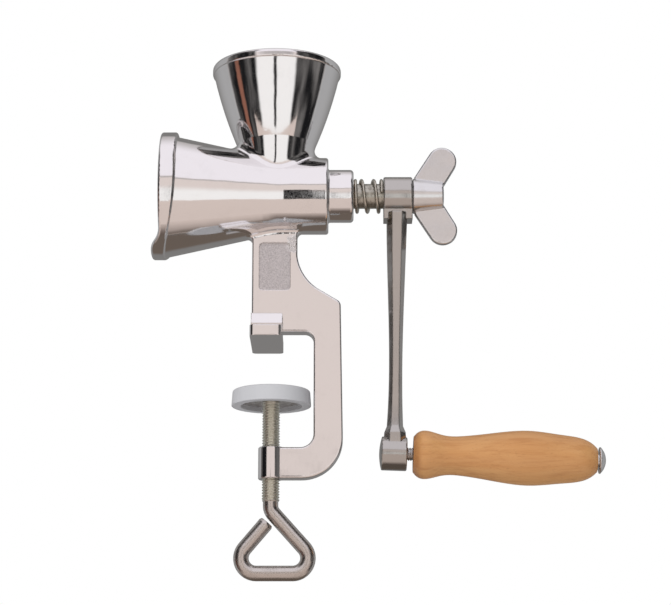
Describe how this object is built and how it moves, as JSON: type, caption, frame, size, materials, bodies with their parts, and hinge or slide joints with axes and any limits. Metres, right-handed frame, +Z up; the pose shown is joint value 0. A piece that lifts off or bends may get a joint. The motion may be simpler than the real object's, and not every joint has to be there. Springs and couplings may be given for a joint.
{
  "type": "hand crank peanut grinder",
  "caption": "Hand crank grinder for nuts: a hopper over a belled barrel with auger and conical burrs, sprung shaft, wing nut, crank with wooden handle, and a C clamp for the table edge.",
  "frame": {"origin": "where the clamp screw's axis meets the underside of the upper jaw, which rests on the table", "axes": "+Z up, +X along the shaft from the mouth to the crank, -Y to the front"},
  "size_m": [0.2056, 0.0598, 0.2395],
  "materials": {
    "polished_steel": "cast steel, polished to a soft mirror",
    "bright_steel": "turned steel, bright",
    "burr_steel": "hardened, milled teeth, grey",
    "bush_bronze": "sintered bronze, plain",
    "plated_steel": "zinc plated, slightly dull",
    "spring_steel": "drawn wire, bright",
    "grip_wood": "turned wood under clear lacquer, orange brown",
    "pad_plastic": "moulded plastic, light grey"
  },
  "bodies": {
    "body": {"body_casting": "polished_steel", "rear_bush": "bush_bronze", "fixed_burr": "burr_steel"},
    "rotor": {"auger_shaft": "bright_steel", "thrust_washer": "plated_steel", "grinding_cone": "burr_steel", "cone_washer": "plated_steel", "cone_nut": "plated_steel", "pressure_spring": "spring_steel"},
    "crank": {"crank_arm": "polished_steel", "handle_bolt": "plated_steel"},
    "wing nut": {"wing_nut": "polished_steel"},
    "grip": {"handle_grip": "grip_wood"},
    "pad": {"pad_disc": "plated_steel", "pad_cap": "pad_plastic"},
    "screw": {"clamp_screw": "plated_steel"}
  },
  "joints": [
    {"name": "crank_turn", "type": "hinge", "parent": "body", "child": "rotor", "pos_m": [0, 0, 0.07], "axis": [1, 0, 0], "continuous": true},
    {"name": "crank_set", "type": "slide", "parent": "rotor", "child": "crank", "axis": [1, 0, 0], "range_m": [-0.0025, 0.00125], "deforming": ["pressure_spring"]},
    {"name": "wing_turn", "type": "hinge", "parent": "crank", "child": "wing nut", "pos_m": [0.0716, 0, 0.07], "axis": [1, 0, 0], "range_deg": [-720.1, 360.1]},
    {"name": "handle_spin", "type": "hinge", "parent": "crank", "child": "grip", "pos_m": [0.0554, 0, -0.0503], "axis": [0.9995, 0, -0.0332], "continuous": true},
    {"name": "screw_travel", "type": "slide", "parent": "body", "child": "pad", "axis": [0, 0, 1], "range_m": [-0.0163, 0.01001]},
    {"name": "screw_turn", "type": "hinge", "parent": "pad", "child": "screw", "pos_m": [0, 0, -0.05], "axis": [0, 0, 1], "range_deg": [-4680, 2880]}
  ],
  "couplings": [
    {"joint": "wing_turn", "follows": "crank_set", "rad_per_m": 5026.5},
    {"joint": "screw_travel", "follows": "screw_turn", "m_per_rad": 0.00019894}
  ]
}
